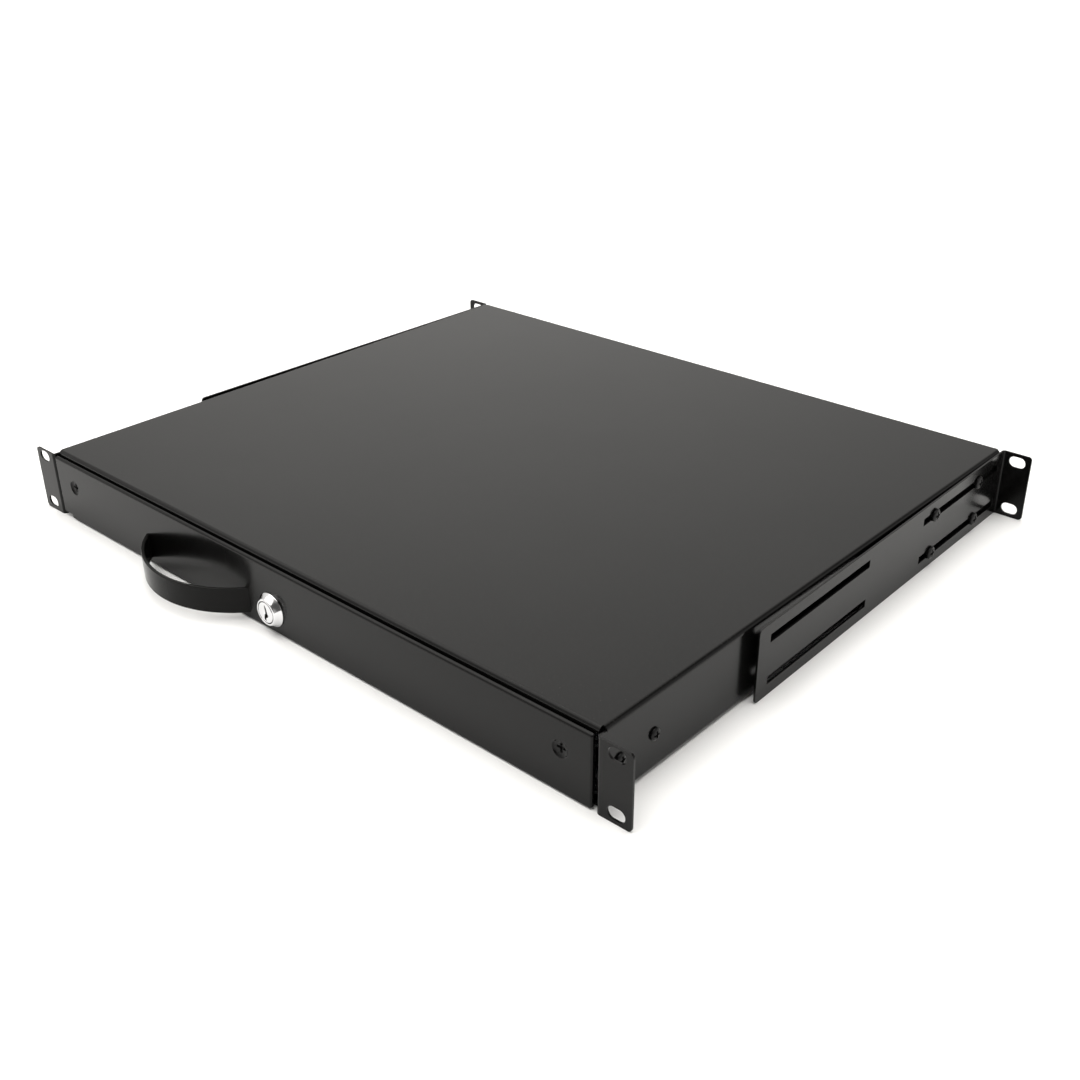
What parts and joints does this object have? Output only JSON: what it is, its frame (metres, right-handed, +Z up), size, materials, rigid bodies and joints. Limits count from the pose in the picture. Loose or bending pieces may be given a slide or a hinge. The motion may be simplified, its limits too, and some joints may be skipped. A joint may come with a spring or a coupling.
{
  "type": "rack keyboard drawer",
  "caption": "Rack keyboard drawer: covered steel chassis with rack ears, pull-out tray on ball slides, flat front with bow handle and cam lock, adjustable rear brackets.",
  "frame": {"origin": "centre of the front ears' slot pattern, on the ears' front face", "axes": "+X to the right across the rack, +Y into the rack, +Z up"},
  "size_m": [0.4826, 0.4159, 0.0436],
  "materials": {
    "black_powder_coat": "fine satin black powder coat on sheet steel",
    "black_screws": "black oxide screws",
    "lock_chrome": "polished chrome",
    "zinc_plate": "bright zinc plate",
    "slide_steel": "zinc-plated rolled steel",
    "cage_steel": "thin plated strip",
    "ball_steel": "polished bearing steel"
  },
  "bodies": {
    "chassis": {"chassis_cover": "black_powder_coat", "left_slide_outer": "slide_steel", "right_slide_outer": "slide_steel", "side_wall_screws": "black_screws", "bracket_screws": "black_screws", "bracket_nuts": "zinc_plate"},
    "drawer": {"drawer_tray": "black_powder_coat", "drawer_front": "black_powder_coat", "bow_handle": "black_powder_coat", "left_slide_inner": "slide_steel", "right_slide_inner": "slide_steel", "tray_slide_screws": "zinc_plate", "front_panel_screws": "black_screws", "lock_housing": "lock_chrome", "lock_nut": "zinc_plate"},
    "lock_barrel": {"lock_plug": "lock_chrome", "lock_cam": "zinc_plate", "cam_screw": "zinc_plate"},
    "left_middle": {"left_slide_middle": "slide_steel"},
    "left_outer_cage": {"left_outer_cage": "cage_steel", "left_outer_balls": "ball_steel"},
    "left_inner_cage": {"left_inner_cage": "cage_steel", "left_inner_balls": "ball_steel"},
    "left_bracket": {"left_rear_bracket": "black_powder_coat"},
    "right_middle": {"right_slide_middle": "slide_steel"},
    "right_outer_cage": {"right_outer_cage": "cage_steel", "right_outer_balls": "ball_steel"},
    "right_inner_cage": {"right_inner_cage": "cage_steel", "right_inner_balls": "ball_steel"},
    "right_bracket": {"right_rear_bracket": "black_powder_coat"}
  },
  "joints": [
    {"name": "drawer_slide", "type": "slide", "parent": "chassis", "child": "drawer", "axis": [0, -1, 0], "range_m": [0, 0.26]},
    {"name": "lock_turn", "type": "hinge", "parent": "drawer", "child": "lock_barrel", "pos_m": [-0.0054, 0, -0.0069], "axis": [0, 1, 0], "range_deg": [0, 90]},
    {"name": "left_middle_slide", "type": "slide", "parent": "chassis", "child": "left_middle", "axis": [0, -1, 0], "range_m": [0, 0.13]},
    {"name": "left_outer_cage_slide", "type": "slide", "parent": "chassis", "child": "left_outer_cage", "axis": [0, -1, 0], "range_m": [0, 0.065]},
    {"name": "left_inner_cage_slide", "type": "slide", "parent": "chassis", "child": "left_inner_cage", "axis": [0, -1, 0], "range_m": [0, 0.195]},
    {"name": "left_bracket_slide", "type": "slide", "parent": "chassis", "child": "left_bracket", "axis": [0, 1, 0], "range_m": [-0.0255, 0.011]},
    {"name": "right_middle_slide", "type": "slide", "parent": "chassis", "child": "right_middle", "axis": [0, -1, 0], "range_m": [0, 0.13]},
    {"name": "right_outer_cage_slide", "type": "slide", "parent": "chassis", "child": "right_outer_cage", "axis": [0, -1, 0], "range_m": [0, 0.065]},
    {"name": "right_inner_cage_slide", "type": "slide", "parent": "chassis", "child": "right_inner_cage", "axis": [0, -1, 0], "range_m": [0, 0.195]},
    {"name": "right_bracket_slide", "type": "slide", "parent": "chassis", "child": "right_bracket", "axis": [0, 1, 0], "range_m": [-0.0255, 0.011]}
  ],
  "couplings": [
    {"joint": "left_middle_slide", "follows": "drawer_slide", "ratio": 0.5},
    {"joint": "left_outer_cage_slide", "follows": "drawer_slide", "ratio": 0.25},
    {"joint": "left_inner_cage_slide", "follows": "drawer_slide", "ratio": 0.75},
    {"joint": "right_middle_slide", "follows": "drawer_slide", "ratio": 0.5},
    {"joint": "right_outer_cage_slide", "follows": "drawer_slide", "ratio": 0.25},
    {"joint": "right_inner_cage_slide", "follows": "drawer_slide", "ratio": 0.75}
  ]
}
